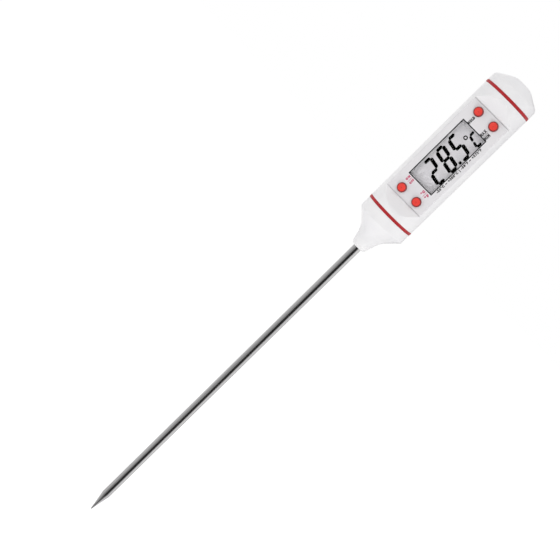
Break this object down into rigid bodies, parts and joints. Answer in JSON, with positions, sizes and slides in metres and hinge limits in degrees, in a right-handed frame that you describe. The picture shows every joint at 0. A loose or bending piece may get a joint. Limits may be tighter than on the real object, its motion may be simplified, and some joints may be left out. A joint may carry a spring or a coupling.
{
  "type": "digital probe thermometer",
  "caption": "Pen-style digital probe thermometer: round handle with a display, press keys and a screw-on battery cap, on a slim pointed steel stem that is pushed into soil.",
  "frame": {"origin": "on the stem's axis at the nose's end face, where the stem comes out of the handle", "axes": "+Z along the stem up to the battery cap, -Y out of the front panel, +X to the right of the panel"},
  "size_m": [0.0226, 0.0226, 0.2529],
  "materials": {
    "white_abs": "moulded ABS, light satin gloss",
    "white_fascia": "fine matt printed sheet",
    "red_silicone": "moulded silicone, dull",
    "red_key": "moulded ABS, glossy",
    "steel": "drawn and polished stainless steel",
    "black_trim": "black foam gasket",
    "clear_window": "clear polished acrylic",
    "display_grey": "grey polariser film",
    "display_glass": "display glass",
    "reflector": "silver reflector film",
    "grey_plastic": "moulded ABS, dull",
    "zebra_rubber": "layered silicone strip",
    "board_green": "solder mask on glass-epoxy board",
    "black_resin": "cast epoxy",
    "chip_black": "moulded, dull",
    "chip_tan": "fired ceramic",
    "plunger_black": "moulded, dull",
    "nickel": "nickel-plated",
    "cell_steel": "nickel-plated steel can",
    "brass": "turned brass",
    "bead_glass": "glass bead",
    "lead_enamel": "enamelled wire",
    "lead_tube": "woven glass sleeve",
    "filler": "heat-conducting epoxy"
  },
  "bodies": {
    "handle": {"nose_cone": "white_abs", "body_tube": "white_abs", "fascia": "white_fascia", "front_ring": "red_silicone", "stem_tube": "steel", "display_frame": "black_trim", "display_window": "clear_window", "lcd_polariser": "display_grey", "lcd_front_glass": "display_glass", "lcd_rear_glass": "display_glass", "lcd_reflector": "reflector", "lcd_holder": "grey_plastic", "carrier": "grey_plastic", "zebra_strips": "zebra_rubber", "circuit_board": "board_green", "chip_cover": "black_resin", "potting": "black_resin", "chip_resistors": "chip_black", "switch_cases": "chip_black", "chip_capacitors": "chip_tan", "switch_domes": "nickel", "board_screws": "nickel", "cell_spring": "nickel", "cell_strip": "nickel", "solder_joints": "nickel", "button_cell": "cell_steel", "stem_collar": "brass", "sensor_bead": "bead_glass", "sensor_leads": "lead_enamel", "lead_tube": "lead_tube", "tip_filler": "filler"},
    "cap_ring": {"rear_ring": "red_silicone"},
    "cap": {"battery_cap": "white_abs"},
    "on_off_key": {"on_off_button": "red_key", "on_off_plunger": "plunger_black"},
    "unit_key": {"unit_button": "red_key", "unit_plunger": "plunger_black"},
    "hold_key": {"hold_button": "red_key", "hold_plunger": "plunger_black"},
    "max_min_key": {"max_min_button": "red_key", "max_min_plunger": "plunger_black"}
  },
  "joints": [
    {"name": "cap_lift", "type": "slide", "parent": "handle", "child": "cap_ring", "axis": [0, 0, 1], "range_m": [0, 0.0035]},
    {"name": "cap_turn", "type": "hinge", "parent": "cap_ring", "child": "cap", "pos_m": [0, 0, 0.0833], "axis": [0, 0, 1], "range_deg": [0, 1044]},
    {"name": "on_off_press", "type": "slide", "parent": "handle", "child": "on_off_key", "axis": [0, 1, 0], "range_m": [0, 0.0005], "stiffness_N_per_m": 800},
    {"name": "unit_press", "type": "slide", "parent": "handle", "child": "unit_key", "axis": [0, 1, 0], "range_m": [0, 0.0005], "stiffness_N_per_m": 800},
    {"name": "hold_press", "type": "slide", "parent": "handle", "child": "hold_key", "axis": [0, 1, 0], "range_m": [0, 0.0005], "stiffness_N_per_m": 800},
    {"name": "max_min_press", "type": "slide", "parent": "handle", "child": "max_min_key", "axis": [0, 1, 0], "range_m": [0, 0.0005], "stiffness_N_per_m": 800}
  ],
  "couplings": [
    {"joint": "cap_lift", "follows": "cap_turn", "m_per_rad": 0.00019099}
  ]
}
